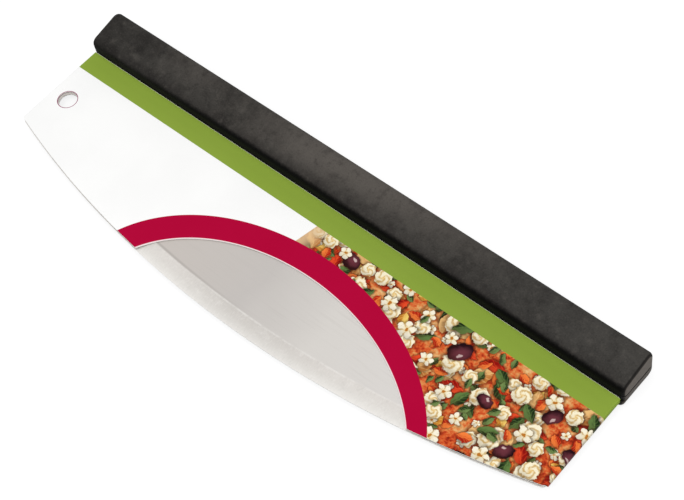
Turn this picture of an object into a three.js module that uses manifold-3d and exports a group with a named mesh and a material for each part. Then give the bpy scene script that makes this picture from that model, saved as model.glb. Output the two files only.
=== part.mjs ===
// Rocker pizza cutter: a long curved blade under a straight bar grip, with a card sleeve over the blade.
// Millimetres. +X runs along the handle, +Y from the cutting edge to the handle, +Z out of the front face.
// The part lies on the flat back of its handle, at z = 0, and its box is centred on the Z axis.

import * as THREE from 'three';
import { mergeVertices } from 'three/addons/utils/BufferGeometryUtils.js';
import Module from 'manifold-3d';

// Blade
const BLADE_LENGTH = 354;
const BLADE_DEPTH = 82.3; // from the sleeve's top edge to the lowest point of the cutting edge
const BLADE_THICKNESS = 1.5;
const EDGE_RADIUS = 618; // the rocker curve
const BEVEL_WIDTH = 10; // ground band on each side of the edge
const EDGE_LAND = 0.2; // thickness left at the cutting edge
const BLADE_CORNER = 3;
const HANG_HOLE_RADIUS = 5.5;
const HANG_HOLE_INSET = 11; // from the blade's end to the hole's middle
const HANG_HOLE_DROP = 32.8; // below the sleeve's top edge

// Handle
const HANDLE_OVERHANG = 2.5; // past each end of the blade
const HANDLE_HEIGHT = 23.5;
const HANDLE_LIFT = 0.4; // bare steel between the sleeve and the handle
const GRIP_DEPTH_LOW = 8.7; // from the blade to the sloping front face, at its lower edge
const GRIP_DEPTH_HIGH = 13.4; // the same at its upper edge
const COVER_DEPTH = 7.1; // from the back face to the seam
const TANG_BED_DEPTH = 3.1; // from the seam to the bed that the blade lies in
const COVER_FOOT = 1.8; // how far the cover reaches down behind the sleeve
const FRONT_LOW_RADIUS = 4.4;
const FRONT_HIGH_RADIUS = 4.1;
const BACK_LOW_RADIUS = 2.8;
const BACK_HIGH_RADIUS = 4.7;
const END_RADIUS = 2.5;
const TANG_COVER = 4; // handle above the tang
const GRIP_WALL = 2.5; // rubber round the core
const COVER_WALL = 2.4;
const CORE_WALL = 1.6;
const INNER_RADIUS = 0.8; // smallest rounding inside the handle
const RIB_THICKNESS = 1.4;
const RIB_PITCH = 16;
const BOSS_WALL = 2;

// Screws
const SCREW_COUNT = 5;
const SCREW_END_INSET = 26; // from the handle's end to the last screw
const SCREW_RADIUS = 1.5;
const SCREW_LENGTH = 11;
const SCREW_HEAD_RADIUS = 3;
const SCREW_HEAD_RIM = 0.4;
const SCREW_HEAD_SINK = 0.3; // below the back face
const SCREW_TIP = 1.2;
const DRIVE_SPAN = 3.4; // cross recess, tip to tip
const DRIVE_WIDTH = 0.8;
const DRIVE_DEPTH = 1.1;
const TANG_HOLE_PLAY = 1;

// Sleeve
const CARD_THICKNESS = 0.45;
const CARD_END_ROOM = 0.55; // between the blade's end and the folded end of the sleeve
const CARD_EDGE_INSET = 0.3; // how far the card stops short of the cutting edge
const WINDOW_X = 27.9; // middle of the elliptical window's full outline
const WINDOW_DROP = 107;
const WINDOW_LONG_RADIUS = 99.9;
const WINDOW_SHORT_RADIUS = 68.6;
const WINDOW_TILT = THREE.MathUtils.degToRad(-6.3);

// Fits and mesh fineness
const CLEARANCE = 0.3; // between pieces that are fitted to each other
const OVERCUT = 2; // how far a cutting tool runs past what it cuts
const ARC_STEPS = 16;
const CORNER_STEPS = 4;
const ROUND_SIDES = 24;
const LENS_SIDES = 360;
const WELD = 1e-3; // points closer than this are one point

// Places that follow from the sizes above
const handleLength = BLADE_LENGTH + 2 * HANDLE_OVERHANG;
const handleBottom = HANDLE_LIFT;
const handleTop = HANDLE_LIFT + HANDLE_HEIGHT;
const handleMiddle = HANDLE_LIFT + HANDLE_HEIGHT / 2;
const gripSeat = COVER_DEPTH + CLEARANCE;
const tangBed = COVER_DEPTH - TANG_BED_DEPTH;
const bladeBack = tangBed + CLEARANCE;
const bladeFront = bladeBack + BLADE_THICKNESS;
const coreSeat = bladeFront + CLEARANCE;
const frontSlope = (GRIP_DEPTH_HIGH - GRIP_DEPTH_LOW) / HANDLE_HEIGHT;
const tangTop = handleTop - TANG_COVER;
const hangHole = new THREE.Vector2(HANG_HOLE_INSET - BLADE_LENGTH / 2, -HANG_HOLE_DROP);
const sleeveLength = BLADE_LENGTH + 2 * (CARD_END_ROOM + CARD_THICKNESS);
const sleeveFront = bladeFront + CLEARANCE + CARD_THICKNESS;
const sleeveBack = bladeBack - CLEARANCE - CARD_THICKNESS;
const footTop = sleeveBack - CLEARANCE;
const screwSpan = handleLength - 2 * SCREW_END_INSET;
const screwPlaces = Array.from({ length: SCREW_COUNT }, (_, i) => {
  const along = SCREW_COUNT > 1 ? i / (SCREW_COUNT - 1) - 0.5 : 0;
  return new THREE.Vector2(screwSpan * along, handleMiddle);
});
const handleReach = new THREE.Box3(
  new THREE.Vector3(-handleLength / 2, handleBottom - COVER_FOOT, 0),
  new THREE.Vector3(handleLength / 2, handleTop, bladeFront + GRIP_DEPTH_HIGH),
).expandByScalar(OVERCUT);

const rubber = new THREE.MeshStandardMaterial({ color: 0x3f3d3a, roughness: 0.85, metalness: 0 });
const nylon = new THREE.MeshStandardMaterial({ color: 0x2a2a2a, roughness: 0.6, metalness: 0 });
const steel = new THREE.MeshStandardMaterial({ color: 0xc8c5c0, roughness: 0.35, metalness: 1 });
const zinc = new THREE.MeshStandardMaterial({ color: 0x9a9a98, roughness: 0.4, metalness: 1 });
const whiteCard = new THREE.MeshStandardMaterial({ color: 0xf4f3ef, roughness: 0.5, metalness: 0 });

const wasm = await Module();
wasm.setup();

// A closed geometry as a solid that can be joined and cut
function solid(geometry) {
  geometry.deleteAttribute('normal');
  geometry.deleteAttribute('uv');
  const welded = mergeVertices(geometry, WELD);
  const triangles = [];
  for (let i = 0; i < welded.index.count; i += 3) {
    const [a, b, c] = [0, 1, 2].map((k) => welded.index.getX(i + k));
    if (a !== b && b !== c && c !== a) {
      triangles.push(a, b, c);
    }
  }
  return new wasm.Manifold(
    new wasm.Mesh({
      numProp: 3,
      vertProperties: new Float32Array(welded.attributes.position.array),
      triVerts: new Uint32Array(triangles),
    }),
  );
}

// A finished solid as a named mesh
function piece(name, body, material) {
  const { vertProperties, triVerts } = body.getMesh();
  const geometry = new THREE.BufferGeometry();
  geometry.setAttribute('position', new THREE.BufferAttribute(vertProperties, 3));
  geometry.setIndex(new THREE.BufferAttribute(triVerts, 1));
  geometry.computeVertexNormals();
  const mesh = new THREE.Mesh(geometry, material);
  mesh.name = name;
  return mesh;
}

// The outline as a polygon, where an arc's end and the next one's start are a single point
function polygon(outline, steps) {
  const apart = (points) => points.filter((point, i) => point.distanceTo(points.at(i - 1)) > WELD);
  const { shape, holes } = outline.extractPoints(steps);
  const flat = new THREE.Shape(apart(shape));
  flat.holes = holes.map((hole) => new THREE.Path(apart(hole)));
  return flat;
}

// An outline in the XY plane, drawn up from one height to another
function prism(outline, low, high, steps = ARC_STEPS) {
  const geometry = new THREE.ExtrudeGeometry(polygon(outline, steps), {
    depth: high - low,
    bevelEnabled: false,
  });
  return solid(geometry.translate(0, 0, low));
}

// A solid turned about the Z axis at a place, from [radius, height] points that go up
function turned(points, place, sides = ROUND_SIDES) {
  const profile = points.map(([radius, height]) => new THREE.Vector2(radius, height));
  const geometry = new THREE.LatheGeometry(profile, sides);
  geometry.rotateX(Math.PI / 2);
  return solid(geometry.translate(place.x, place.y, 0));
}

function block(low, high) {
  const size = high.clone().sub(low);
  const middle = low.clone().add(high).multiplyScalar(0.5);
  const geometry = new THREE.BoxGeometry(size.x, size.y, size.z);
  return solid(geometry.translate(middle.x, middle.y, middle.z));
}

function roundHole(place, radius) {
  return new THREE.Path().absarc(place.x, place.y, radius, 0, 2 * Math.PI, true);
}

// An outline through [x, y, radius] corners, counterclockwise, each rounded to its radius
function roundedOutline(corners) {
  const points = corners.map(([x, y]) => new THREE.Vector2(x, y));
  const shape = new THREE.Shape();
  corners.forEach(([, , radius], i) => {
    const arrive = points[i].clone().sub(points.at(i - 1)).normalize();
    const leave = points[(i + 1) % points.length].clone().sub(points[i]).normalize();
    const turn = Math.acos(arrive.dot(leave));
    const inward = leave.clone().sub(arrive).normalize();
    const middle = points[i].clone().addScaledVector(inward, radius / Math.cos(turn / 2));
    const start = arrive.angle() - Math.PI / 2;
    shape.absarc(middle.x, middle.y, radius, start, start + turn);
  });
  return shape;
}

// A section of the handle, with Y and Z as its axes, drawn out along X about the middle
function bar(section, length, endRadius = 0) {
  const geometry = new THREE.ExtrudeGeometry(polygon(section, CORNER_STEPS), {
    depth: length - 2 * endRadius,
    bevelEnabled: endRadius > 0,
    bevelThickness: endRadius,
    bevelSize: endRadius,
    bevelOffset: -endRadius,
    bevelSegments: CORNER_STEPS,
  });
  geometry.translate(0, 0, endRadius - length / 2);
  const axes = [[0, 1, 0], [0, 0, 1], [1, 0, 0]].map((axis) => new THREE.Vector3(...axis));
  return solid(geometry.applyMatrix4(new THREE.Matrix4().makeBasis(...axes)));
}

// Straight top and ends, rounded lower corners, and the rocker curve moved in from the cutting edge
function rockerOutline(length, top, inset) {
  const middle = EDGE_RADIUS - BLADE_DEPTH;
  const radius = EDGE_RADIUS - inset;
  const cornerX = length / 2 - BLADE_CORNER;
  const cornerY = middle - Math.sqrt((radius - BLADE_CORNER) ** 2 - cornerX ** 2);
  const turn = Math.atan2(middle - cornerY, cornerX);
  const shape = new THREE.Shape();
  shape.moveTo(-length / 2, top);
  shape.lineTo(-length / 2, cornerY);
  shape.absarc(-cornerX, cornerY, BLADE_CORNER, Math.PI, Math.PI + turn);
  shape.absarc(0, middle, radius, Math.PI + turn, 2 * Math.PI - turn);
  shape.absarc(cornerX, cornerY, BLADE_CORNER, 2 * Math.PI - turn, 2 * Math.PI);
  shape.lineTo(length / 2, top);
  shape.holes.push(roundHole(hangHole, HANG_HOLE_RADIUS));
  return shape;
}

// The blade is a plate cut out of a wide disc that is ground to a double cone at its rim
function makeBlade() {
  const outline = rockerOutline(BLADE_LENGTH, tangTop, 0);
  for (const place of screwPlaces) {
    outline.holes.push(roundHole(place, SCREW_RADIUS + TANG_HOLE_PLAY));
  }
  const slope = (BLADE_THICKNESS - EDGE_LAND) / 2 / BEVEL_WIDTH;
  const sharp = EDGE_RADIUS + EDGE_LAND / 2 / slope;
  const shoulder = sharp - BLADE_THICKNESS / slope;
  const middle = bladeFront - BLADE_THICKNESS / 2;
  const disc = turned(
    [
      [0, middle - BLADE_THICKNESS],
      [shoulder, middle - BLADE_THICKNESS],
      [sharp, middle],
      [shoulder, middle + BLADE_THICKNESS],
      [0, middle + BLADE_THICKNESS],
    ],
    new THREE.Vector2(0, EDGE_RADIUS - BLADE_DEPTH),
    LENS_SIDES,
  );
  return prism(outline, bladeBack, bladeFront).intersect(disc);
}

// Height of the sloping front face, or of a face at a depth behind it
function frontAt(y, depth = 0) {
  const face = bladeFront + GRIP_DEPTH_LOW + frontSlope * (y - handleBottom);
  return face - depth * Math.hypot(1, frontSlope);
}

// A bar with the handle's top, front and back, and with a lower side of its own
function handleBar(bottom) {
  const section = roundedOutline([
    [bottom, 0, BACK_LOW_RADIUS],
    [handleTop, 0, BACK_HIGH_RADIUS],
    [handleTop, frontAt(handleTop), FRONT_HIGH_RADIUS],
    [bottom, frontAt(bottom), FRONT_LOW_RADIUS],
  ]);
  return bar(section, handleLength, Math.min(END_RADIUS, FRONT_LOW_RADIUS, BACK_LOW_RADIUS));
}

// The whole handle, front and back together, with a foot behind the sleeve
function handleEnvelope() {
  const foot = handleSlice(handleBar(handleBottom - COVER_FOOT), handleReach.min.z, footTop);
  return handleBar(handleBottom).add(foot);
}

// The stretch of the handle between two heights
function handleSlice(envelope, low, high) {
  const { min, max } = handleReach;
  const tool = block(new THREE.Vector3(min.x, min.y, low), new THREE.Vector3(max.x, max.y, high));
  return envelope.intersect(tool);
}

// The room inside the grip, at a depth behind its outer faces and from a height upwards
function gripRoom(depth, low) {
  const bottom = handleBottom + depth;
  const top = handleTop - depth;
  const section = roundedOutline([
    [bottom, low, 0],
    [top, low, 0],
    [top, frontAt(top, depth), Math.max(FRONT_HIGH_RADIUS - depth, INNER_RADIUS)],
    [bottom, frontAt(bottom, depth), INNER_RADIUS],
  ]);
  return bar(section, handleLength - 2 * depth);
}

// A countersunk screw with its head at the back; grown and lengthened, it is the seat that it needs
function screwBody(place, grow = 0, overrun = 0) {
  const head = SCREW_HEAD_RADIUS + grow;
  const shank = SCREW_RADIUS + grow;
  const rim = SCREW_HEAD_SINK + SCREW_HEAD_RIM;
  const tip = SCREW_HEAD_SINK + SCREW_LENGTH + grow;
  return turned(
    [
      [0, SCREW_HEAD_SINK - overrun],
      [head, SCREW_HEAD_SINK - overrun],
      [head, rim],
      [shank, rim + SCREW_HEAD_RADIUS - SCREW_RADIUS],
      [shank, tip - SCREW_TIP],
      [shank / 2, tip],
      [0, tip],
    ],
    place,
  );
}

function screwSeat(place) {
  return screwBody(place, CLEARANCE, SCREW_HEAD_SINK + OVERCUT);
}

function makeScrew(place) {
  const arms = [[DRIVE_SPAN, DRIVE_WIDTH], [DRIVE_WIDTH, DRIVE_SPAN]];
  let body = screwBody(place);
  for (const [x, y] of arms) {
    body = body.subtract(
      block(
        new THREE.Vector3(place.x - x / 2, place.y - y / 2, -OVERCUT),
        new THREE.Vector3(place.x + x / 2, place.y + y / 2, SCREW_HEAD_SINK + DRIVE_DEPTH),
      ),
    );
  }
  return body;
}

// A body with a hollow in it, stiffened by cross ribs and by a boss round each screw
function ribbed(body, hollow) {
  const { min, max } = handleReach;
  const bays = Math.max(Math.round(handleLength / RIB_PITCH), 1);
  let cavity = hollow;
  for (let i = 1; i < bays; i += 1) {
    const x = (i / bays - 0.5) * handleLength;
    const low = new THREE.Vector3(x - RIB_THICKNESS / 2, min.y, min.z);
    const high = new THREE.Vector3(x + RIB_THICKNESS / 2, max.y, max.z);
    cavity = cavity.subtract(block(low, high));
  }
  for (const place of screwPlaces) {
    const boss = new THREE.Shape().absarc(place.x, place.y, SCREW_RADIUS + BOSS_WALL, 0, 2 * Math.PI);
    cavity = cavity.subtract(prism(boss, min.z, max.z));
  }
  return screwPlaces.reduce((rest, place) => rest.subtract(screwSeat(place)), body.subtract(cavity));
}

// Back cover: flat outside, ribbed inside, with a bed for the tang that is open towards the edge
function makeCover(envelope) {
  const top = handleTop - COVER_WALL;
  const over = COVER_DEPTH + OVERCUT;
  const bedX = BLADE_LENGTH / 2 + CLEARANCE;
  const bed = block(
    new THREE.Vector3(-bedX, handleReach.min.y, tangBed),
    new THREE.Vector3(bedX, handleTop - GRIP_WALL, over),
  );
  const hollow = roundedOutline([
    [handleBottom + COVER_WALL, COVER_WALL, INNER_RADIUS],
    [top, COVER_WALL, INNER_RADIUS],
    [top, over, 0],
    [handleBottom + COVER_WALL, over, 0],
  ]);
  const body = handleSlice(envelope, handleReach.min.z, COVER_DEPTH);
  return ribbed(body, bar(hollow, handleLength - 2 * COVER_WALL)).subtract(bed);
}

// Soft grip: a deep shell round the core, with a lip that reaches down to the blade
function makeGrip(envelope) {
  const lip = block(
    new THREE.Vector3(-BLADE_LENGTH / 2, handleReach.min.y, coreSeat),
    new THREE.Vector3(BLADE_LENGTH / 2, handleBottom + GRIP_WALL, gripSeat + CLEARANCE),
  );
  return handleSlice(envelope, gripSeat, handleReach.max.z)
    .subtract(gripRoom(GRIP_WALL, gripSeat - OVERCUT))
    .add(envelope.intersect(lip));
}

// Rigid core inside the grip, open towards the tang
function makeCore() {
  const depth = GRIP_WALL + CLEARANCE;
  return ribbed(gripRoom(depth, coreSeat), gripRoom(depth + CORE_WALL, coreSeat - OVERCUT));
}

// Front sheet of the sleeve: the window, the hang hole and both ends folded back round the blade
function makeCardFront() {
  const room = sleeveLength / 2 - CARD_THICKNESS;
  const slot = block(
    new THREE.Vector3(-room, -BLADE_DEPTH - OVERCUT, sleeveBack - OVERCUT),
    new THREE.Vector3(room, OVERCUT, sleeveFront - CARD_THICKNESS),
  );
  const window = new THREE.Shape().absellipse(
    WINDOW_X,
    -WINDOW_DROP,
    WINDOW_LONG_RADIUS,
    WINDOW_SHORT_RADIUS,
    0,
    2 * Math.PI,
    false,
    WINDOW_TILT,
  );
  return prism(rockerOutline(sleeveLength, 0, CARD_EDGE_INSET), sleeveBack, sleeveFront)
    .subtract(slot)
    .subtract(prism(window, bladeFront, sleeveFront + OVERCUT, 2 * ARC_STEPS));
}

// Back sheet of the sleeve, glued between the folded ends
function makeCardBack() {
  const length = sleeveLength - 2 * (CARD_THICKNESS + CLEARANCE);
  return prism(rockerOutline(length, 0, CARD_EDGE_INSET), sleeveBack, sleeveBack + CARD_THICKNESS);
}

const envelope = handleEnvelope();
const cutter = new THREE.Group();
cutter.add(
  piece('blade', makeBlade(), steel),
  piece('back_cover', makeCover(envelope), nylon),
  piece('grip_core', makeCore(), nylon),
  piece('rubber_grip', makeGrip(envelope), rubber),
);
screwPlaces.forEach((place, i) => {
  cutter.add(piece(`cover_screw_${i + 1}`, makeScrew(place), zinc));
});

const sleeve = new THREE.Group();
sleeve.add(
  piece('card_front_panel', makeCardFront(), whiteCard),
  piece('card_back_panel', makeCardBack(), whiteCard),
);

const pizzaCutter = new THREE.Group();
pizzaCutter.add(cutter, sleeve);
pizzaCutter.position.y = (BLADE_DEPTH - handleTop) / 2;

export default pizzaCutter;
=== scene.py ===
"""Rocker pizza cutter: rubber bar grip, ground steel blade and a printed card sleeve."""

import math

import bmesh
import bpy
from mathutils import Matrix, Vector


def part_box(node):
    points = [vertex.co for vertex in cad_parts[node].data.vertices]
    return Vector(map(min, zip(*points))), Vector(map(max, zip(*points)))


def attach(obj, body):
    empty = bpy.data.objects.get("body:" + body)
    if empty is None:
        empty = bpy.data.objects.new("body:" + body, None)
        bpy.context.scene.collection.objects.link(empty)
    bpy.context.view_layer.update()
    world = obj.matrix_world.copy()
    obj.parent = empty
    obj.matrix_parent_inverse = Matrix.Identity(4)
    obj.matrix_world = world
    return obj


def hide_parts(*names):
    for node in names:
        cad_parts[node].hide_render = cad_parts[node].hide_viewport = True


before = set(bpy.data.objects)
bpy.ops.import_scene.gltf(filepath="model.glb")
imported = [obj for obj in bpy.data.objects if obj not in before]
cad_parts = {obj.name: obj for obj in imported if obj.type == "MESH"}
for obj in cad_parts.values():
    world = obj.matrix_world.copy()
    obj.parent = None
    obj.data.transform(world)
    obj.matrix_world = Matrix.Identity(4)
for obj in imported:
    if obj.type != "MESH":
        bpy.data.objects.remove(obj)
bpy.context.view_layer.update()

MM = 0.001  # sizes are in millimetres, apart from the camera's and the lamps'

# Blade, as in the solids
EDGE_RADIUS = 618.0
BEVEL_WIDTH = 10.0

# Handle, as in the solids
HANDLE_HEIGHT = 23.5
GRIP_DEPTH_LOW = 8.7
GRIP_DEPTH_HIGH = 13.4
FRONT_SLOPE = (GRIP_DEPTH_HIGH - GRIP_DEPTH_LOW) / HANDLE_HEIGHT
COVER_FOOT = 1.8  # behind the sleeve
FRONT_LOW_RADIUS = 4.4
FRONT_HIGH_RADIUS = 4.1
BACK_LOW_RADIUS = 2.8
BACK_HIGH_RADIUS = 4.7
END_RADIUS = 2.5
GRIP_WALL = 2.5
INNER_RADIUS = 0.8  # lower front corner of the room inside the grip
FIT_ROOM = 0.3  # between the pieces

# Handle, roundings of the scene's own
SEAM_ROUND = 0.45  # softened lips of the seam
ROOM_END_ROUND = 0.2  # ends of the room inside the grip
CRISP_ROUND = 0.1  # corners that look sharp
LEAST_ROUND = 0.05
SECTION_STEPS = 10  # points in each rounding

# Tones along the handle, as places on X: a painted highlight, a paler patch and a paler right end
HIGHLIGHT_MIDDLE = 5.0
HIGHLIGHT_TILT = 0.07  # the painted highlight climbs towards the right end
PALE_PATCH = -112.0
PALER_RIGHT = (40.0, 150.0)
PALER_LEFT = (-40.0, -178.0)  # where the underside's painted shade eases off, towards the left end

# Tones along the blade, as places on X: painted reflection on the face and at the shoulder, a
# painted glint and a darker band
FLAT_TONES_START = -60.0
FLAT_TONES_LENGTH = 150.0
DARKER_BAND_MIDDLE = 10.0
SHOULDER_REFLECTION_LEFT = (20.0, -50.0)
GLINT_RIGHT = (-45.0, -10.0)

# Screws, as in the solids
SCREW_RADIUS = 1.5
SCREW_HEAD_RADIUS = 3.0
SCREW_HEAD_RIM = 0.4
SCREW_HEAD_SINK = 0.3
SCREW_LENGTH = 11.0
SCREW_TIP = 1.2
DRIVE_SPAN = 3.4  # cross recess
DRIVE_WIDTH = 0.8
DRIVE_DEPTH = 1.1

# Screws, finer shapes of the scene's own
SCREW_CHAMFER = 0.12  # round the head
SCREW_SIDES = 64
SEAT_OVERRUN = 2.0  # how far the tool for a screw's seat stands out of the back
DRIVE_START = -1.0  # where the tool for the recess begins
DRIVE_NARROWING = 0.6  # size of its tip against its start

# Sleeve, as in the solids
CARD_THICKNESS = 0.45
CARD_CORNER = 3.0
CARD_EDGE_INSET = 0.3
HOLE_X = -166.0
HOLE_DROP = 32.8
HOLE_RADIUS = 5.5
WINDOW = {"x": 27.9, "y": -107.0, "long": 99.9, "short": 68.6, "tilt": math.radians(-6.3)}

# Sleeve, folds and cut edges of the scene's own
FOLD_RADIUS = 0.8  # outside of the folded ends
FLAP_TAPER = 0.8  # how far a folded end stops short of the top edge
FLAP_LIFT = 1.5 * FLAP_TAPER  # and of its lower corner
CUT_ROUND = 0.07  # softened cut edges of the card
CUT_ROUND_STEPS = 2
TURNED_EDGE = 0.24  # how far the window's cut edge is pressed down to the blade
WINDOW_REACH = 0.2  # points this near to the window's outline are on its cut edge
FACE_UP = 0.9  # faces that look up more than this are printed
WINDOW_STEPS = 400  # points in half a turn of the window
LEFT_EDGE_STEPS = 60
RIGHT_EDGE_STEPS = 40
CORNER_STEPS = 6
HOLE_STEPS = 64
FOLD_STEPS = 8

# Print on the sleeve
BORDER = {"x": 23.8, "y": -102.5, "long": 109.6, "short": 77.5, "tilt": math.radians(-4.8)}
BAND_DEPTH = 12.9
RING_WIDTH = 0.42
BARE_MARGIN = 0.34  # hardly printed round the window
TOP_MARGIN = 0.18  # and along the top edge
PATTERN_START = 0.7  # where the pattern's slanted side meets the band
PATTERN_LEAN = 0.22
WAVE_SCALE = 0.42  # of the waves that bend the scatters out of their rows
WAVE_REACH = 2.6
SPOT_STRIDE = 3.7  # how far apart two seeds lie in the scatter
SPOT_LOOSENESS = 0.5
BLOSSOM_PETALS = 5

# Meshes
CLEAN_REACH = 0.002  # points closer than this are one
SHEET_REACH = 0.004  # the same on a freshly cut sheet
CREASE_REACH = 1e-5  # the same where a crease is cut
SHARP_ANGLE = math.radians(30)

# Camera, found from the photo's outlines, in metres
CAMERA_AT = (0.378984, -0.261729, 0.678704)
CAMERA_RIGHT = (0.743775, 0.65595, -0.128561)
CAMERA_UP = (-0.500765, 0.674206, 0.542846)
CAMERA_LENS = 85.6
SENSOR_WIDTH = 36.0

# Light, with the lamps in metres and watts
OVERHEAD_LAMP = {"at": (0.05, -0.4, 1.0), "size": 1.0, "power": 3.7}
SIDE_LAMP = {"at": (1.1, -0.1, 0.45), "size": 0.6, "power": 1.5}
ROOM_LIGHT = 0.73
FLOOR_TONE = 0.3
FLOOR_GLOW = 0.78  # added where the floor is looked at, which makes it white
FLOOR_RADIUS = 4000.0
FLOOR_SIDES = 96
FLOOR_DROP = 0.05  # clear of the handle's flat back

# Sockets of the Mix node that are for colours
MIX_SHARE, MIX_LOW, MIX_HIGH, MIX_COLOUR = 0, 6, 7, 2

# Places read from the solids
grip_low, grip_high = (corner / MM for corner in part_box("rubber_grip"))
cover_low, cover_high = (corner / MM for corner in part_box("back_cover"))
blade_low, blade_high = (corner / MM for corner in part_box("blade"))
sleeve_low, sleeve_high = (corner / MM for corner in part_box("card_front_panel"))
HANDLE_BOTTOM = grip_low.y
HANDLE_TOP = grip_high.y
HANDLE_END = grip_high.x
SLEEVE_TOP = sleeve_high.y  # the line that heights on the blade are measured from
SEAM_LOW, SEAM_HIGH = cover_high.z, cover_high.z + FIT_ROOM
TANG_BED = blade_low.z - FIT_ROOM
FOOT_TOP = sleeve_low.z - FIT_ROOM
BLADE_FRONT = blade_high.z
EDGE_MIDDLE = blade_low.y + EDGE_RADIUS


def srgb(red, green, blue):
    """A colour as a painter's 0 to 255 values, turned into light values."""
    return tuple(
        (c / 255 / 12.92 if c / 255 <= 0.04045 else ((c / 255 + 0.055) / 1.055) ** 2.4)
        for c in (red, green, blue)
    ) + (1.0,)


def grey(light):
    """A grey as its light value."""
    return (light, light, light, 1.0)


class Amount:
    """A number that changes over a surface. Python's operators on it add Math nodes."""

    def __init__(self, finish, socket):
        self.finish = finish
        self.socket = socket

    def math(self, operation, *others):
        """A Math node with this amount first."""
        values = dict(enumerate((self, *others)))
        return self.finish.make("ShaderNodeMath", {"operation": operation}, values)

    def swapped(self, operation, other):
        """A Math node with this amount second, for the reflected operators."""
        return self.finish.make("ShaderNodeMath", {"operation": operation}, {0: other, 1: self})

    def __add__(self, other):
        return self.math("ADD", other)

    __radd__ = __add__

    def __sub__(self, other):
        return self.math("SUBTRACT", other)

    def __rsub__(self, other):
        return self.swapped("SUBTRACT", other)

    def __mul__(self, other):
        return self.math("MULTIPLY", other)

    __rmul__ = __mul__

    def __truediv__(self, other):
        return self.math("DIVIDE", other)

    def __rtruediv__(self, other):
        return self.swapped("DIVIDE", other)

    def __pow__(self, other):
        return self.math("POWER", other)

    def __abs__(self):
        return self.math("ABSOLUTE")

    def rising(self, low, high):
        """0 below low and 1 above high, eased in between; falling where low is the greater."""
        settings = {"interpolation_type": "SMOOTHSTEP"}
        sockets = {"Value": self, "From Min": low, "From Max": high}
        return self.finish.make("ShaderNodeMapRange", settings, sockets)

    def over(self, edge, softness):
        """0 below an edge and 1 above it."""
        return self.rising(edge - softness, edge + softness)

    def under(self, edge, softness):
        """1 below an edge and 0 above it."""
        return self.rising(edge + softness, edge - softness)


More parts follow.
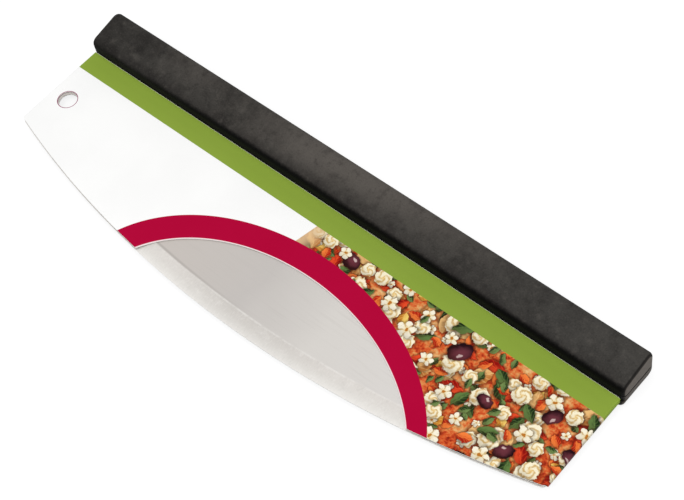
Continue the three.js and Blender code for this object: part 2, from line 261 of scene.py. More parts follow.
class Finish:
    """One material, or the room's light, in the making."""

    def __init__(self, name, kind=bpy.data.materials):
        self.owner = kind.new(name)
        self.owner.use_nodes = True
        self.tree = self.owner.node_tree
        self.surface = next(
            node for node in self.tree.nodes if node.type in ("BSDF_PRINCIPLED", "BACKGROUND")
        )

    def make(self, kind, settings=None, sockets=None, output=0):
        """Any node, from its type, settings, sockets' values or links, and the output wanted."""
        node = self.tree.nodes.new(kind)
        for name, value in (settings or {}).items():
            if name == "stops":
                self.set_stops(node.color_ramp.elements, value)
            else:
                setattr(node, name, value)
        for name, value in (sockets or {}).items():
            self.feed(node.inputs[name], value)
        return Amount(self, node.outputs[output])

    @staticmethod
    def set_stops(elements, stops):
        """Sets a colour ramp's stops."""
        while len(elements) < len(stops):
            elements.new(1.0)
        for element, (position, colour) in zip(elements, stops):
            element.position = position
            element.color = colour

    def feed(self, socket, value):
        """Links an amount to a socket, or sets a plain value on it."""
        if isinstance(value, Amount):
            self.tree.links.new(value.socket, socket)
        else:
            socket.default_value = value

    def wear(self, **values):
        """Sets sockets of the surface, with _ for the spaces in their names."""
        for name, value in values.items():
            self.feed(self.surface.inputs[name.replace("_", " ")], value)
        return self.owner

    def place(self):
        """The point on the piece in millimetres, with heights from the sleeve's top edge."""
        raw = self.make("ShaderNodeTexCoord", output="Object")
        return self.vector("MULTIPLY_ADD", raw, (1 / MM,) * 3, (0.0, -SLEEVE_TOP, 0.0))

    def facing(self):
        """The X, Y and Z of the direction that the surface faces."""
        return self.parts(self.make("ShaderNodeTexCoord", output="Normal"))

    def seen(self):
        """1 where a camera, mirror or glass looks, and 0 where light is gathered."""
        path = self.make("ShaderNodeLightPath").socket.node.outputs
        looks = Amount(self, path["Is Camera Ray"])
        for name in ("Is Glossy Ray", "Is Transmission Ray"):
            looks = looks.math("MAXIMUM", Amount(self, path[name]))
        return looks

    def vector(self, operation, *values):
        """A Vector Math node."""
        return self.make("ShaderNodeVectorMath", {"operation": operation}, dict(enumerate(values)))

    def parts(self, vector):
        """The X, Y and Z of a vector."""
        node = self.make("ShaderNodeSeparateXYZ", sockets={"Vector": vector}).socket.node
        return [Amount(self, socket) for socket in node.outputs]

    def mixed(self, low, high, share):
        """A colour between two colours."""
        settings = {"data_type": "RGBA", "blend_type": "MIX"}
        sockets = {MIX_SHARE: share, MIX_LOW: low, MIX_HIGH: high}
        return self.make("ShaderNodeMix", settings, sockets, MIX_COLOUR)

    def layered(self, tone, *layers):
        """A colour with (colour, share) layers over it, one after the other."""
        for colour, share in layers:
            tone = self.mixed(tone, colour, share)
        return tone

    def ramp(self, amount, *stops):
        """A colour that follows an amount through (amount, colour) stops."""
        return self.make("ShaderNodeValToRGB", {"stops": stops}, {"Fac": amount})

    def noise(self, place, size, detail=2.0, roughness=0.5, stretch=(1.0, 1.0, 1.0)):
        """Soft noise, from 0 to 1, whose blotches are about that size in millimetres."""
        scaled = self.vector("MULTIPLY", place, tuple(s / size for s in stretch))
        sockets = {"Vector": scaled, "Scale": 1.0, "Detail": detail, "Roughness": roughness}
        return self.make("ShaderNodeTexNoise", None, sockets)

    def bump(self, height, depth, strength, under=None):
        """A normal from a height between 0 and 1 that stands for a depth in millimetres."""
        sockets = {"Strength": strength, "Distance": depth * MM, "Height": height}
        if under is not None:
            sockets["Normal"] = under
        return self.make("ShaderNodeBump", None, sockets)

    def scatter(self, place, spacing, seed):
        """Loose spots: the way from the nearest one in millimetres, and its random numbers."""
        shift = (seed, SPOT_STRIDE * seed, 0.0)
        shifted = self.vector("MULTIPLY_ADD", place, (1 / spacing,) * 3, shift)
        cell = self.make(
            "ShaderNodeTexVoronoi",
            {"voronoi_dimensions": "2D", "feature": "F1"},
            {"Vector": shifted, "Scale": 1.0, "Randomness": SPOT_LOOSENESS},
        ).socket.node
        away = self.vector("SUBTRACT", shifted, Amount(self, cell.outputs["Position"]))
        away = self.vector("MULTIPLY", away, (spacing, spacing, 0.0))
        chances = self.make(
            "ShaderNodeSeparateColor", sockets={0: Amount(self, cell.outputs["Color"])}
        )
        return away, [Amount(self, socket) for socket in chances.socket.node.outputs]

    def turned(self, vector, angle):
        """A vector turned about Z."""
        sockets = {"Vector": vector, "Angle": angle}
        return self.make("ShaderNodeVectorRotate", {"rotation_type": "Z_AXIS"}, sockets)


def oval_reach(oval, x, y):
    """How far out a point is in an oval's own measure, 1 on its outline: numbers or amounts."""
    cos, sin = math.cos(oval["tilt"]), math.sin(oval["tilt"])
    across, up = x - oval["x"], y - oval["y"]
    along = (across * cos + up * sin) / oval["long"]
    aside = (up * cos - across * sin) / oval["short"]
    return (along * along + aside * aside) ** 0.5


def handle_painted_shade_and_scuffs(finish, place, shade, pale):
    """Marks on both handle shells: pale ends that are painted light broken by scuffs, and painted
    shade at the rims, in the seam and on the underside.
    """
    x, _, z = finish.parts(place)
    facing_end, facing_up, _ = finish.facing()
    scuffs = finish.noise(place, 1.6, detail=3.0, roughness=0.7)
    rim = abs(facing_end).rising(0.3, 0.55) * abs(facing_end).rising(0.93, 0.82)
    ends = abs(x).rising(HANDLE_END - 0.9, HANDLE_END - 0.2)
    seam = abs(z - (SEAM_LOW + SEAM_HIGH) / 2).rising(0.75, 0.3)
    left_end = x.rising(*PALER_LEFT)
    underside = (facing_up + 0.24 * left_end + 0.3 * (scuffs - 0.5)).rising(-0.4, -0.88)
    return finish.layered(
        shade,
        # painted light on the end faces, broken up by scuffs
        (pale, ends * (0.55 + 0.7 * scuffs)),
        # painted shade along the rounding between the front and the end faces
        (srgb(16, 15, 14), rim * 0.75),
        # painted shade in the seam's groove
        (srgb(10, 9, 9), seam * 0.85),
        # painted shade: the underside black, easing off towards the left end
        (srgb(5, 5, 5), underside),
    )


def soft_rubber():
    """Matt black rubber with a moulded grain, a painted highlight in its upper middle and a paler
    patch.
    """
    finish = Finish("soft_rubber")
    place = finish.place()
    x, y, _ = finish.parts(place)
    blotches = finish.noise(place, 13.0, detail=4.0, roughness=0.62)
    clouds = finish.noise(place, 5.0, detail=4.0, roughness=0.6)
    streaks = finish.noise(place, 9.0, detail=4.0, roughness=0.65, stretch=(1.0, 0.35, 1.0))
    speckle = finish.noise(place, 0.9, detail=3.0, roughness=0.7)
    grain = finish.noise(place, 0.45, detail=3.0, roughness=0.65)
    pores = finish.noise(place, 1.6)
    right_end = x.rising(*PALER_RIGHT)
    middle = (abs(x - HIGHLIGHT_MIDDLE) + 70.0 * (streaks - 0.5)).rising(115.0, 10.0)
    painted_highlight = middle * (0.2 + 0.85 * (y - HIGHLIGHT_TILT * x).rising(2.0, 17.0))
    patch = (abs(x - PALE_PATCH) + 40.0 * (streaks - 0.5)).rising(34.0, 4.0)
    patch_share = patch * (0.05 + 0.4 * y.rising(4.0, 18.0))
    shade = finish.layered(
        srgb(43, 41, 39),
        (srgb(61, 59, 56), blotches.rising(0.3, 0.7)),
        (srgb(69, 67, 64), right_end * (0.35 + 0.4 * streaks)),
        # painted highlight in the upper middle, and a paler patch
        (srgb(94, 89, 84), 0.78 * painted_highlight.math("MAXIMUM", patch_share)),
        # painted shade, darker towards the face's lower edge
        (srgb(24, 22, 21), y.rising(8.0, 0.5) * 0.4),
        (srgb(88, 84, 79), clouds.rising(0.5, 0.78) * 0.4),
        (srgb(26, 24, 23), clouds.rising(0.5, 0.24) * 0.4),
        (srgb(104, 99, 93), speckle.rising(0.52, 0.82) * 0.28),
        (srgb(14, 13, 13), speckle.rising(0.5, 0.22) * 0.36),
    )
    skin = finish.bump(grain, depth=0.05, strength=0.6)
    return finish.wear(
        Base_Color=handle_painted_shade_and_scuffs(finish, place, shade, pale=srgb(119, 113, 107)),
        Roughness=0.66 + 0.2 * blotches,
        Normal=finish.bump(pores, depth=0.08, strength=0.35, under=skin),
        Specular_IOR_Level=0.06,
        Sheen_Weight=0.03,
        Sheen_Roughness=0.35,
    )


def moulded_nylon():
    """Black nylon with a spark-eroded mould grain."""
    finish = Finish("moulded_nylon")
    place = finish.place()
    grain = finish.noise(place, 0.6, detail=3.0, roughness=0.7)
    clouds = finish.noise(place, 14.0, detail=3.0)
    shade = finish.layered(
        srgb(30, 29, 28),
        (srgb(44, 43, 41), clouds.rising(0.35, 0.7)),
        (srgb(64, 62, 59), grain.rising(0.55, 0.8) * 0.4),
    )
    return finish.wear(
        Base_Color=handle_painted_shade_and_scuffs(finish, place, shade, pale=srgb(84, 78, 72)),
        Roughness=0.5 + 0.2 * grain,
        Normal=finish.bump(grain, depth=0.06, strength=0.5),
        Specular_IOR_Level=0.15,
    )


def blade_steel():
    """Rolled steel with a satin face and a ground band that brightens to the cutting edge with a
    painted highlight; the face's tones, the shoulder's dark line and its glint are painted
    reflection.
    """
    finish = Finish("blade_steel")
    place = finish.place()
    x, y, _ = finish.parts(place)
    up = y - (EDGE_MIDDLE - SLEEVE_TOP)
    from_edge = EDGE_RADIUS - (x * x + up * up) ** 0.5
    rolled = finish.noise(place, 1.2, detail=3.0, roughness=0.6, stretch=(0.04, 1.0, 1.0))
    clouds = finish.noise(place, 38.0)
    cuts = finish.noise(place, 0.7, detail=3.0, roughness=0.6, stretch=(1.0, 0.35, 1.0))
    mottle = finish.noise(place, 4.0, detail=4.0, roughness=0.7, stretch=(0.7, 1.0, 1.0))
    # painted reflection: the face darker to the left, brighter to the right
    flat = finish.ramp(
        (x - FLAT_TONES_START + 26.0 * (clouds - 0.5)) / FLAT_TONES_LENGTH,
        (0.0, srgb(202, 195, 189)),
        (0.4, srgb(199, 194, 190)),
        (0.7, srgb(217, 213, 208)),
        (1.0, srgb(220, 216, 212)),
    )
    # the ground band's own paler tone, with a painted highlight growing towards the cutting edge
    band = finish.ramp(
        (from_edge + 3.8 * (mottle - 0.5)) / BEVEL_WIDTH,
        (0.0, srgb(241, 238, 234)),
        (0.25, srgb(232, 229, 224)),
        (0.5, srgb(227, 223, 218)),
        (1.0, srgb(224, 219, 214)),
    )
    darker_band = abs(x - DARKER_BAND_MIDDLE).rising(70.0, 5.0) * (0.15 + 0.3 * from_edge / BEVEL_WIDTH)
    bright_cuts = cuts.rising(0.5, 0.75) * 0.25 + mottle.rising(0.48, 0.75) * 0.3
    dark_cuts = cuts.rising(0.47, 0.22) * 0.25 + mottle.rising(0.48, 0.25) * 0.25
    band = finish.layered(
        band,
        (srgb(188, 184, 179), darker_band),
        (srgb(247, 245, 241), bright_cuts),
        (srgb(198, 195, 190), dark_cuts),
    )
    ground = from_edge.rising(BEVEL_WIDTH + 0.3, BEVEL_WIDTH - 0.5)
    # painted dark reflection along the shoulder, on the left
    shoulder_reflection = abs(from_edge - BEVEL_WIDTH - 0.5).rising(1.1, 0.0) * x.rising(*SHOULDER_REFLECTION_LEFT)
    # painted highlight along the shoulder, on the right
    glint = abs(from_edge - BEVEL_WIDTH + 0.4).rising(0.75, 0.15) * x.rising(*GLINT_RIGHT)
    tone = finish.layered(
        flat,
        (srgb(188, 183, 178), rolled.rising(0.5, 0.8) * 0.22),
        (band, ground),
        (srgb(168, 163, 158), shoulder_reflection * 0.55),
        (srgb(240, 238, 234), glint * mottle.rising(0.3, 0.62) * 0.4),
    )
    lines = finish.bump(rolled, depth=0.01, strength=0.25)
    return finish.wear(
        Base_Color=tone,
        Roughness=0.36 + 0.08 * rolled + 0.08 * ground + 0.08 * mottle * ground,
        Metallic=1.0,
        Normal=finish.bump(cuts * ground, depth=0.02, strength=0.3, under=lines),
    )


def plated_screw():
    """Zinc-plated steel with turning marks."""
    finish = Finish("plated_screw")
    place = finish.place()
    marks = finish.noise(place, 0.5, detail=3.0, roughness=0.6)
    clouds = finish.noise(place, 2.5)
    return finish.wear(
        Base_Color=finish.mixed(srgb(138, 138, 134), srgb(176, 175, 168), clouds.rising(0.3, 0.7)),
        Roughness=0.3 + 0.25 * marks,
        Metallic=1.0,
        Normal=finish.bump(marks, depth=0.02, strength=0.3),
    )


def raw_card():
    """White coated board: faint fibre mottle and soft sheen."""
    finish = Finish("raw_card")
    place = finish.place()
    fibres = finish.noise(place, 1.1, detail=4.0, roughness=0.7)
    clouds = finish.noise(place, 30.0)
    return finish.wear(
        Base_Color=finish.mixed(srgb(243, 242, 239), srgb(252, 251, 249), clouds.rising(0.3, 0.7)),
        Roughness=0.5 + 0.15 * fibres,
        Normal=finish.bump(fibres, depth=0.015, strength=0.3),
        Specular_IOR_Level=0.1,
    )


class Print:
    """A generic tossed botanical print in warm kitchen colours."""

    def __init__(self, finish, place):
        self.finish = finish
        sockets = {"Vector": place, "Scale": WAVE_SCALE, "Detail": 3.0}
        waves = finish.make("ShaderNodeTexNoise", None, sockets, "Color")
        self.bent = finish.vector("MULTIPLY_ADD", waves, (WAVE_REACH,) * 3, place)
        self.fine = finish.noise(place, 2.2, detail=4.0, roughness=0.7)
        self.specks = finish.noise(place, 0.9, roughness=0.6)
        self.tone = finish.ramp(
            0.55 * finish.noise(place, 9.0, detail=3.0, roughness=0.6) + 0.45 * self.fine,
            (0.31, srgb(84, 32, 16)),
            (0.39, srgb(168, 48, 25)),
            (0.46, srgb(212, 88, 42)),
            (0.53, srgb(222, 140, 78)),
            (0.61, srgb(230, 180, 120)),
            (0.72, srgb(244, 214, 160)),
        )

    def lay(self, motif, spacing, seed, share):
        """Lays a scatter of a motif, which gives its height, above 0 inside, and its colour."""
        finish = self.finish
        away, chances = finish.scatter(finish.turned(self.bent, seed), spacing, seed)
        along, across, _ = finish.parts(finish.turned(away, chances[0] * (2 * math.pi)))
        _, upward, _ = finish.parts(finish.turned(away, -seed))
        size = 0.75 + 0.35 * chances[2]
        height, colour = motif(along / size, across / size)
        there = chances[1].math("GREATER_THAN", 1 - share)
        shaded = upward.rising(0.06 * spacing, -0.3 * spacing) * 0.42
        self.tone = finish.layered(
            self.tone,
            (srgb(54, 18, 10), height.rising(-0.5, 0.05) * there * 0.6),
            (finish.mixed(colour, srgb(72, 30, 15), shaded), height.rising(0.0, 0.08) * there),
        )

    def blossom(self, radius):
        """A cream blossom with a golden eye."""

        def motif(along, across):
            reach = (along * along + across * across) ** 0.5 / radius
            lobe = abs((across.math("ARCTAN2", along) * (BLOSSOM_PETALS / 2)).math("COSINE"))
            height = 1 - reach / (0.64 + 0.36 * lobe) + 0.3 * (self.fine - 0.5)
            eye = (reach + 0.3 * (self.specks - 0.5)).rising(0.24, 0.16)
            return height, self.finish.layered(
                srgb(206, 176, 122),
                (srgb(250, 243, 220), (lobe + 0.6 * self.fine).rising(0.35, 0.95)),
                (srgb(240, 218, 160), reach.rising(0.55, 0.15) * 0.8),
                (srgb(184, 150, 98), self.specks.rising(0.58, 0.74) * 0.55),
                (srgb(190, 120, 42), eye),
            )

        return motif

    def rose(self, radius):
        """A full cream rose with petals that wind round its middle."""

        def motif(along, across):
            reach = (along * along + across * across) ** 0.5 / radius
            winding = (across.math("ARCTAN2", along) * 3 + reach * 10).math("SINE")
            height = 1 - reach + 0.7 * (self.fine - 0.5)
            return height, self.finish.layered(
                srgb(214, 180, 118),
                (srgb(252, 243, 212), (0.25 * winding + self.fine).rising(0.2, 0.6)),
                (srgb(240, 200, 120), reach.rising(0.4, 0.05) * 0.7),
                (srgb(176, 138, 84), self.specks.rising(0.6, 0.76) * 0.5),
            )

        return motif

    def leaf(self, long, wide, dark, light):
        """A pointed leaf with a midrib and side veins, one half paler."""

        def motif(along, across):
            side = abs(across)
            height = 1 - (along / long) ** 2 - side / wide
            veins = ((along - 1.1 * side) * (15 / long)).math("SINE").rising(0.5, 0.95)
            return height, self.finish.layered(
                dark,
                (light, (across / wide + 0.8 * (self.fine - 0.5)).rising(-0.5, 0.6)),
                (light, veins * 0.45),
                (light, side.rising(0.06 * wide + 0.1, 0.03 * wide)),
            )

        return motif

    def berry(self, long, wide, dark, light):
        """A glossy berry with a pale glint."""

        def motif(along, across):
            height = 1 - (along / long) ** 2 - (across / wide) ** 2
            from_glint = ((along / long - 0.1) / 1.8) ** 2 + (across / wide - 0.5) ** 2
            return height, self.finish.layered(
                dark,
                (light, (height + 0.5 * across / wide).rising(0.0, 1.3)),
                (srgb(226, 200, 196), from_glint.rising(0.03, 0.008) * 0.75),
            )

        return motif


def botanical_print(finish, place):
    """Petals, leaves, roses, blossoms and berries, laid from the back to the front."""
    design = Print(finish, place)
    straw = design.leaf(7.0, 4.4, srgb(190, 120, 58), srgb(238, 190, 124))
    petal = design.leaf(6.2, 3.4, srgb(146, 18, 14), srgb(230, 76, 40))
    ember = design.leaf(4.2, 2.6, srgb(178, 34, 18), srgb(246, 128, 60))
    green = design.leaf(6.0, 3.2, srgb(28, 46, 22), srgb(96, 124, 66))
    sprig = design.leaf(3.4, 1.8, srgb(34, 52, 24), srgb(116, 140, 80))
    plum = design.berry(6.2, 4.3, srgb(34, 12, 19), srgb(112, 54, 64))
    gold = design.leaf(4.6, 3.0, srgb(204, 130, 44), srgb(244, 206, 110))
    blossom, bud = design.blossom(4.6), design.blossom(2.6)
    rose, full_rose = design.rose(4.0), design.rose(5.4)
    for motif, spacing, seed, share in (
        (straw, 22.0, 1.3, 0.95),
        (petal, 22.0, 5.1, 0.9),
        (ember, 15.0, 2.6, 0.85),
        (gold, 19.0, 4.9, 0.75),
        (green, 22.0, 8.2, 0.65),
        (bud, 9.5, 3.1, 0.55),
        (straw, 27.0, 9.1, 0.8),
        (petal, 23.0, 6.3, 0.75),
        (sprig, 12.0, 4.4, 0.65),
        (rose, 16.0, 7.4, 0.85),
        (ember, 15.0, 7.9, 0.6),
        (full_rose, 21.0, 2.2, 0.9),
        (green, 23.0, 9.7, 0.6),
        (plum, 25.0, 3.6, 0.6),
        (blossom, 19.0, 1.9, 0.7),
        (sprig, 14.0, 5.8, 0.45),
    ):
        design.lay(motif, spacing, seed, share)
    return design.tone


def printed_card():
    """The sleeve's face: green band, red window border, a ring round the hole, botanical print."""
    finish = Finish("printed_card")
    place = finish.place()
    x, y, _ = finish.parts(place)
    fibres = finish.noise(place, 1.1, detail=4.0, roughness=0.7)
    clouds = finish.noise(place, 30.0)
    along_pattern = x - PATTERN_LEAN * (y + BAND_DEPTH) - PATTERN_START
    pale_start = along_pattern.rising(11.0, 1.0) * 0.8
    pattern = finish.mixed(botanical_print(finish, place), srgb(232, 196, 150), pale_start)
    red = finish.mixed(srgb(174, 2, 52), srgb(181, 6, 58), clouds)
    green = finish.layered(
        srgb(137, 162, 60),
        (srgb(142, 166, 66), clouds),
        # painted light: lighter towards the top edge, against the handle's shade
        (srgb(150, 177, 68), y.rising(-7.0, 0.0) * 0.8),
    )
    from_hole = ((x - HOLE_X) ** 2 + (y + HOLE_DROP) ** 2) ** 0.5
    from_window = (oval_reach(WINDOW, x, y) - 1) * WINDOW["short"]
    tone = finish.layered(
        srgb(252, 252, 251),
        (srgb(255, 255, 254), clouds.rising(0.3, 0.7)),
        (pattern, along_pattern.over(0.0, 0.2)),
        (red, oval_reach(BORDER, x, y).under(1.0, 0.0006)),
        (green, y.over(-BAND_DEPTH, 0.05)),
        (srgb(150, 62, 100), from_hole.under(HOLE_RADIUS + RING_WIDTH, 0.06)),
        (srgb(252, 224, 229), from_window.under(BARE_MARGIN, 0.1)),
        (srgb(226, 230, 204), y.over(-TOP_MARGIN, 0.1)),
    )
    return finish.wear(
        Base_Color=tone,
        Roughness=0.42 + 0.16 * fibres,
        Normal=finish.bump(fibres, depth=0.012, strength=0.25),
        Specular_IOR_Level=0.03,
    )


def pale_floor():
    """A white floor that keeps the shadow, and looks white to the camera and in reflections."""
    finish = Finish("pale_floor")
    return finish.wear(
        Base_Color=grey(FLOOR_TONE),
        Roughness=0.9,
        Specular_IOR_Level=0.0,
        Emission_Color=finish.mixed(grey(0.0), grey(FLOOR_GLOW), finish.seen()),
        Emission_Strength=1.0,
    )


def arc(x, y, radius, start, end, steps):
    """Points along an arc."""
    angles = [start + (end - start) * k / steps for k in range(steps + 1)]
    return [(x + radius * math.cos(angle), y + radius * math.sin(angle)) for angle in angles]


def circle(x, y, radius, steps):
    """Points round a circle."""
    return arc(x, y, radius, 0.0, 2 * math.pi, steps)[:-1]


def rounded_outline(corners):
    """Points round an outline of (a, b, radius) corners that go counterclockwise.

    A corner that turns in stays sharp.
    """
    points = [Vector(corner[:2]) for corner in corners]
    outline = []
    for i, (_, _, radius) in enumerate(corners):
        arrive = (points[i] - points[i - 1]).normalized()
        leave = (points[(i + 1) % len(points)] - points[i]).normalized()
        if arrive.cross(leave) < 0:
            outline.append(points[i])
            continue
        turn = math.acos(max(-1.0, min(1.0, arrive.dot(leave))))
        inward = (leave - arrive).normalized()
        middle = points[i] + inward * (radius / math.cos(turn / 2))
        start = math.atan2(arrive.y, arrive.x) - math.pi / 2
        outline += arc(*middle, radius, start, start + turn, SECTION_STEPS)
    return outline


def moved_in(corners, insets):
    """The corners with each side, from its corner to the next, moved in by its own inset."""
    count = len(corners)
    sides = []
    for i in range(count):
        start, end = Vector(corners[i][:2]), Vector(corners[(i + 1) % count][:2])
        along = (end - start).normalized()
        sides.append((start + insets[i] * Vector((-along.y, along.x)), along))
    moved = []
    for i in range(count):
        (p, u), (q, v) = sides[i - 1], sides[i]
        reach = (q - p).cross(v) / u.cross(v)
        shrink = min(insets[i - 1], insets[i])
        moved.append((*(p + u * reach), max(corners[i][2] - shrink, LEAST_ROUND)))
    return moved


def lofted(rings):
    """A closed skin through rings of points, with a cap at each end."""
    made = bmesh.new()
    loops = [[made.verts.new(point) for point in ring] for ring in rings]
    for before, after in zip(loops, loops[1:]):
        for i in range(len(before)):
            made.faces.new((before[i - 1], before[i], after[i], after[i - 1]))
    made.faces.new(loops[0])
    made.faces.new(reversed(loops[-1]))
    bmesh.ops.recalc_face_normals(made, faces=made.faces)
    return made


def drawn_bar(corners, rounding, half_length):
    """A bar along X with that (y, z) section, each side rounded in at the ends by its amount."""
    deepest = max(rounding)
    stations = []
    for k in range(SECTION_STEPS + 1):
        angle = math.pi / 2 * k / SECTION_STEPS
        section = moved_in(corners, [inset * (1 - math.sin(angle)) for inset in rounding])
        x = half_length - deepest * (1 - math.cos(angle))
        stations.append((x, rounded_outline(section)))
    stations = [(-x, ring) for x, ring in stations] + stations[::-1]
    return lofted([[(x, *point) for point in ring] for x, ring in stations])


def block(low, high):
    """A block between two corners."""
    made = bmesh.new()
    bmesh.ops.create_cube(made, size=1.0)
    size = Vector(high) - Vector(low)
    middle = (Vector(high) + Vector(low)) / 2
    fit = Matrix.Translation(middle) @ Matrix.Diagonal((*size, 1.0))
    bmesh.ops.transform(made, verts=made.verts, matrix=fit)
    return made


def turned_pin(x, y, profile):
    """A turned shape about a Z axis at x, y, from (radius, z) points that go up."""
    return lofted(
        [[(*point, z) for point in circle(x, y, radius, SCREW_SIDES)] for radius, z in profile]
    )


def placed(name, made):
    """The bmesh, in millimetres, as an object in metres."""
    bmesh.ops.scale(made, vec=(MM,) * 3, verts=made.verts)
    mesh = bpy.data.meshes.new(name)
    made.to_mesh(mesh)
    made.free()
    thing = bpy.data.objects.new(name, mesh)
    bpy.context.scene.collection.objects.link(thing)
    return thing


def final_mesh(thing):
    """A copy of the object's mesh with its modifiers worked in."""
    bpy.context.view_layer.update()
    graph = bpy.context.evaluated_depsgraph_get()
    return bpy.data.meshes.new_from_object(thing.evaluated_get(graph))


def worked(thing, operation, *tools):
    """Takes the tools' shapes out of a piece, or joins them to it."""
    for tool in tools:
        helper = placed(f"{thing.name}_tool", tool)
        step = thing.modifiers.new("work", "BOOLEAN")
        step.operation = operation
        step.solver = "EXACT"
        step.object = helper
        mesh = final_mesh(thing)
        thing.modifiers.clear()
        thing.data = mesh
        bpy.data.objects.remove(helper)


def cleaned(thing):
    """Merges points that all but meet, and cuts faces with many corners into even triangles."""
    made = bmesh.new()
    made.from_mesh(thing.data)
    bmesh.ops.remove_doubles(made, verts=made.verts, dist=CLEAN_REACH * MM)
    bmesh.ops.dissolve_degenerate(made, edges=made.edges, dist=CLEAN_REACH * MM)
    many_cornered = [face for face in made.faces if len(face.verts) > 4]
    bmesh.ops.triangulate(made, faces=many_cornered, ngon_method="BEAUTY")
    made.to_mesh(thing.data)
    made.free()


def smoothed(thing):
    """Smooth shading that keeps flat faces flat and edges over the sharp angle sharp."""
    thing.data.shade_smooth()
    thing.data.set_sharp_from_angle(angle=SHARP_ANGLE)
    flat = thing.modifiers.new("flat faces", "WEIGHTED_NORMAL")
    flat.keep_sharp = True


def dressed(piece, node, body, slot, *finishes):
    """Gives a finished piece its materials, cleans and smooths it, hangs it on its body and hides
    the solid it takes the place of.
    """
    for finish in finishes:
        piece.data.materials.append(finish)
    cleaned(piece)
    smoothed(piece)
    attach(piece, body)
    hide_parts(node)


def front_height(y, depth=0.0):
    """Height of the grip's sloping front face, or of a face at a depth behind it."""
    face = BLADE_FRONT + GRIP_DEPTH_LOW + FRONT_SLOPE * (y - HANDLE_BOTTOM)
    return face - depth * math.hypot(1, FRONT_SLOPE)


def make_grip(finish):
    """The front shell of the handle, hollow, with a lip that reaches down to the blade."""
    corners = [
        (HANDLE_BOTTOM, SEAM_HIGH, SEAM_ROUND),
        (HANDLE_TOP, SEAM_HIGH, SEAM_ROUND),
        (HANDLE_TOP, front_height(HANDLE_TOP), FRONT_HIGH_RADIUS),
        (HANDLE_BOTTOM, front_height(HANDLE_BOTTOM), FRONT_LOW_RADIUS),
    ]
    rounding = (SEAM_ROUND, END_RADIUS, END_RADIUS, END_RADIUS)
    grip = placed("grip_shell", drawn_bar(corners, rounding, HANDLE_END))
    low, high = HANDLE_BOTTOM + GRIP_WALL, HANDLE_TOP - GRIP_WALL
    room = [
        (low, SEAM_HIGH - GRIP_WALL, CRISP_ROUND),
        (high, SEAM_HIGH - GRIP_WALL, CRISP_ROUND),
        (high, front_height(high, GRIP_WALL), FRONT_HIGH_RADIUS - GRIP_WALL),
        (low, front_height(low, GRIP_WALL), INNER_RADIUS),
    ]
    lip = block(
        (blade_low.x, HANDLE_BOTTOM, BLADE_FRONT + FIT_ROOM),
        (blade_high.x, low, SEAM_HIGH + 2 * SEAM_ROUND),
    )
    worked(grip, "DIFFERENCE", drawn_bar(room, (ROOM_END_ROUND,) * 4, HANDLE_END - GRIP_WALL))
    worked(grip, "UNION", lip)
    dressed(grip, "rubber_grip", "cutter", "rubber", finish)


def screw_nodes():
    """The screws' names with the middle of each in millimetres."""
    for name in sorted(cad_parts):
        if name.startswith("cover_screw"):
            low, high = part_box(name)
            yield name, (low + high) / 2 / MM


def screw_profile(grow=0.0, overrun=0.0, chamfer=0.0):
    """Half of a countersunk screw's outline, head down; grown and lengthened, it is the seat."""
    head, shank = SCREW_HEAD_RADIUS + grow, SCREW_RADIUS + grow
    foot = SCREW_HEAD_SINK - overrun
    rim = SCREW_HEAD_SINK + SCREW_HEAD_RIM
    tip = SCREW_HEAD_SINK + SCREW_LENGTH
    return [
        (head - chamfer, foot),
        (head, foot + chamfer),
        (head, rim),
        (shank, rim + SCREW_HEAD_RADIUS - SCREW_RADIUS),
        (shank, tip - SCREW_TIP),
        (shank / 2, tip),
    ]


def make_screws(finish):
    """Countersunk screws with a cross recess that narrows as it goes in."""
    reach = SCREW_HEAD_SINK + DRIVE_DEPTH
    profile = screw_profile(chamfer=SCREW_CHAMFER)
    for name, middle in screw_nodes():
        pin = turned_pin(middle.x, middle.y, profile)
        screw = placed(name.replace("cover_screw", "plated_screw"), pin)
        for long, wide in ((DRIVE_SPAN, DRIVE_WIDTH), (DRIVE_WIDTH, DRIVE_SPAN)):
            tool = block(
                (middle.x - long / 2, middle.y - wide / 2, DRIVE_START),
                (middle.x + long / 2, middle.y + wide / 2, reach),
            )
            for vert in tool.verts:
                if vert.co.z > 0:
                    vert.co.x = middle.x + (vert.co.x - middle.x) * DRIVE_NARROWING
                    vert.co.y = middle.y + (vert.co.y - middle.y) * DRIVE_NARROWING
            worked(screw, "DIFFERENCE", tool)
        dressed(screw, name, "cutter", "screw_steel", finish)


def make_cover(finish):
    """The back shell: a bed for the blade, a foot behind the sleeve and a hole for each screw."""
    corners = [
        (HANDLE_BOTTOM - COVER_FOOT, cover_low.z, BACK_LOW_RADIUS),
        (HANDLE_TOP, cover_low.z, BACK_HIGH_RADIUS),
        (HANDLE_TOP, SEAM_LOW, SEAM_ROUND),
        (HANDLE_BOTTOM, SEAM_LOW, SEAM_ROUND),
        (HANDLE_BOTTOM, FOOT_TOP, 0.0),
        (HANDLE_BOTTOM - COVER_FOOT, FOOT_TOP, CRISP_ROUND),
    ]
    rounding = (END_RADIUS, END_RADIUS, SEAM_ROUND, END_RADIUS, 0.0, END_RADIUS)
    cover = placed("cover_shell", drawn_bar(corners, rounding, HANDLE_END))
    bed = block(
        (blade_low.x - FIT_ROOM, HANDLE_BOTTOM - GRIP_WALL, TANG_BED),
        (blade_high.x + FIT_ROOM, HANDLE_TOP - GRIP_WALL, SEAM_LOW + GRIP_WALL),
    )
    seat = screw_profile(FIT_ROOM, SEAT_OVERRUN)
    seats = [turned_pin(middle.x, middle.y, seat) for _, middle in screw_nodes()]
    worked(cover, "DIFFERENCE", bed, *seats)
    dressed(cover, "back_cover", "cutter", "nylon", finish)


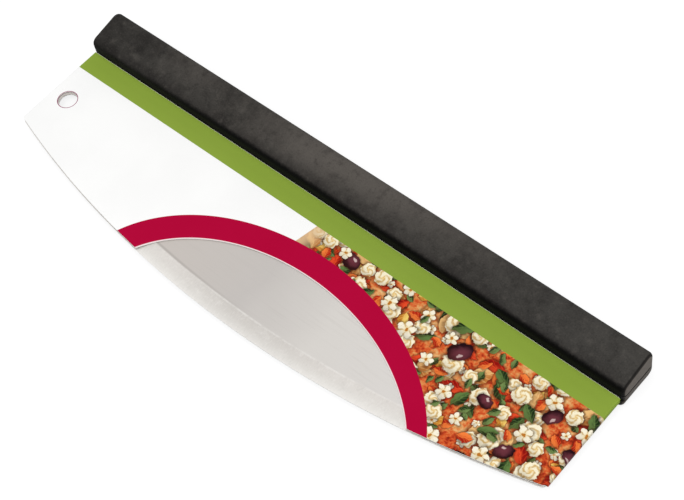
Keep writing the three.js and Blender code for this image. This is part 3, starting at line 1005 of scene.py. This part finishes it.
def oval_point(oval, angle):
    """The point on an oval's outline at an angle."""
    along, aside = oval["long"] * math.cos(angle), oval["short"] * math.sin(angle)
    cos, sin = math.cos(oval["tilt"]), math.sin(oval["tilt"])
    return oval["x"] + along * cos - aside * sin, oval["y"] + along * sin + aside * cos


def window_outline(middle, radius):
    """The part of the window's outline, from left to right, that lies above the curved edge."""
    turns = range(-WINDOW_STEPS // 4, 5 * WINDOW_STEPS // 4 + 1)
    points = [oval_point(WINDOW, math.pi * k / WINDOW_STEPS) for k in reversed(turns)]
    return [(x, y) for x, y in points if math.hypot(x, y - middle) < radius]


def card_outline(fold_start, flap):
    """The flat front sheet: its flaps, its curved edge and the window cut into that edge.

    Heights are from its top edge.
    """
    radius = EDGE_RADIUS - CARD_EDGE_INSET
    middle = EDGE_MIDDLE - SLEEVE_TOP
    corner_x = sleeve_high.x - CARD_CORNER
    corner_y = middle - math.sqrt((radius - CARD_CORNER) ** 2 - corner_x**2)
    swing = math.atan2(middle - corner_y, corner_x)
    window = window_outline(middle, radius)
    low_left = math.atan2(window[0][1] - middle, window[0][0])
    low_right = math.atan2(window[-1][1] - middle, window[-1][0])
    fold_drop = corner_y - math.sqrt(CARD_CORNER**2 - (fold_start - corner_x) ** 2)
    flap_drop = fold_drop + FLAP_LIFT
    turn = math.acos((fold_start - corner_x) / CARD_CORNER)
    points = [(-fold_start, 0.0), (-flap, -FLAP_TAPER), (-flap, flap_drop)]
    points.append((-fold_start, fold_drop))
    left_turn, left_swing = math.pi + turn, math.pi + swing
    points += arc(-corner_x, corner_y, CARD_CORNER, left_turn, left_swing, CORNER_STEPS)[1:]
    points += arc(0.0, middle, radius, swing - math.pi, low_left, LEFT_EDGE_STEPS)[1:]
    points += window
    points += arc(0.0, middle, radius, low_right, -swing, RIGHT_EDGE_STEPS)
    points += arc(corner_x, corner_y, CARD_CORNER, -swing, -turn, CORNER_STEPS)[1:]
    points += [(flap, flap_drop), (flap, -FLAP_TAPER), (fold_start, 0.0)]
    return points


def cut_sheet(outlines, middle_height):
    """Board cut flat to closed outlines, in millimetres, with softened edges."""
    drawing = bpy.data.curves.new("card_drawing", "CURVE")
    drawing.dimensions = "2D"
    drawing.fill_mode = "BOTH"
    drawing.extrude = (CARD_THICKNESS / 2 - CUT_ROUND) * MM
    drawing.bevel_depth = CUT_ROUND * MM
    drawing.bevel_resolution = CUT_ROUND_STEPS
    drawing.offset = -CUT_ROUND * MM
    for points in outlines:
        spline = drawing.splines.new("POLY")
        spline.points.add(len(points) - 1)
        for point, (x, y) in zip(spline.points, points):
            point.co = (x * MM, (y + SLEEVE_TOP) * MM, middle_height * MM, 1.0)
        spline.use_cyclic_u = True
    sketch = bpy.data.objects.new("card_drawing", drawing)
    bpy.context.scene.collection.objects.link(sketch)
    sheet = bmesh.new()
    sheet.from_mesh(final_mesh(sketch))
    bpy.data.objects.remove(sketch)
    bmesh.ops.scale(sheet, vec=(1 / MM,) * 3, verts=sheet.verts)
    bmesh.ops.remove_doubles(sheet, verts=sheet.verts, dist=SHEET_REACH)
    return sheet


def crease(sheet, x):
    """Cuts the sheet's faces along a line across it, so that it can bend there."""
    bmesh.ops.bisect_plane(
        sheet,
        geom=sheet.verts[:] + sheet.edges[:] + sheet.faces[:],
        dist=CREASE_REACH,
        plane_co=(x, 0.0, 0.0),
        plane_no=(1.0, 0.0, 0.0),
    )


def make_card(printed, raw):
    """The sleeve's front sheet: cut flat from board, then folded round the blade's ends."""
    middle_height = sleeve_high.z - CARD_THICKNESS / 2
    middle_radius = FOLD_RADIUS - CARD_THICKNESS / 2
    fold_start = sleeve_high.x - FOLD_RADIUS
    bend = middle_radius * math.pi / 2
    fold_axis = sleeve_high.z - FOLD_RADIUS
    flap = fold_start + bend + fold_axis - sleeve_low.z
    hole = circle(HOLE_X, -HOLE_DROP, HOLE_RADIUS, HOLE_STEPS)
    sheet = cut_sheet((card_outline(fold_start, flap), hole), middle_height)
    for side in (-1, 1):
        for k in range(FOLD_STEPS + 1):
            crease(sheet, side * (fold_start + bend * k / FOLD_STEPS))
    for vert in sheet.verts:
        off_window = oval_reach(WINDOW, vert.co.x, vert.co.y - SLEEVE_TOP) - 1
        if vert.co.z < middle_height and abs(off_window) * WINDOW["short"] < WINDOW_REACH:
            vert.co.z -= TURNED_EDGE
    bmesh.ops.recalc_face_normals(sheet, faces=sheet.faces)
    for face in sheet.faces:
        face.material_index = 0 if face.normal.z > FACE_UP else 1
    for vert in sheet.verts:
        beyond = abs(vert.co.x) - fold_start
        if beyond > 0:
            radius = middle_radius + vert.co.z - middle_height
            angle = min(beyond / middle_radius, math.pi / 2)
            down = max(beyond - bend, 0.0)
            vert.co.x = math.copysign(fold_start + radius * math.sin(angle), vert.co.x)
            vert.co.z = fold_axis + radius * math.cos(angle) - down
    card = placed("printed_sleeve", sheet)
    dressed(card, "card_front_panel", "sleeve", "printed_card", printed, raw)


def coat_solids(finishes):
    """Gives the solids that stay in view their finishes."""
    for name, finish in finishes.items():
        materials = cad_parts[name].data.materials
        materials.clear()
        materials.append(finish)


def make_floor():
    """A wide floor just under the handle's flat back."""
    made = bmesh.new()
    bmesh.ops.create_circle(made, cap_ends=True, segments=FLOOR_SIDES, radius=FLOOR_RADIUS)
    floor = placed("studio_floor", made)
    floor.location.z = -FLOOR_DROP * MM
    floor.data.materials.append(pale_floor())


def make_lamp(name, at, size, power):
    """A square soft lamp aimed at the origin, with no picture of itself in the steel."""
    data = bpy.data.lights.new(name, "AREA")
    data.shape = "SQUARE"
    data.size = size
    data.energy = power
    lamp = bpy.data.objects.new(name, data)
    lamp.visible_glossy = False
    lamp.location = at
    lamp.rotation_euler = (-Vector(at)).to_track_quat("-Z", "Y").to_euler()
    bpy.context.scene.collection.objects.link(lamp)


def make_room():
    """Even white surroundings: softer as light than they look in reflections."""
    room = Finish("studio_room", bpy.data.worlds)
    light = room.mixed(grey(ROOM_LIGHT), grey(1.0), room.seen())
    bpy.context.scene.world = room.wear(Color=light)


def make_camera():
    """The camera that sees the part as the photo does."""
    data = bpy.data.cameras.new("photo_camera")
    data.sensor_fit = "HORIZONTAL"
    data.sensor_width = SENSOR_WIDTH
    data.lens = CAMERA_LENS
    camera = bpy.data.objects.new("photo_camera", data)
    right, up = Vector(CAMERA_RIGHT), Vector(CAMERA_UP)
    turn = Matrix((right, up, right.cross(up))).transposed().to_4x4()
    camera.matrix_world = Matrix.Translation(CAMERA_AT) @ turn
    bpy.context.scene.collection.objects.link(camera)
    bpy.context.scene.camera = camera


nylon = moulded_nylon()
white_board = raw_card()
make_grip(soft_rubber())
make_cover(nylon)
make_screws(plated_screw())
make_card(printed_card(), white_board)
coat_solids({"blade": blade_steel(), "grip_core": nylon, "card_back_panel": white_board})
make_floor()
make_room()
make_lamp("overhead_lamp", **OVERHEAD_LAMP)
make_lamp("side_lamp", **SIDE_LAMP)
make_camera()
bpy.context.scene.view_settings.view_transform = "Standard"
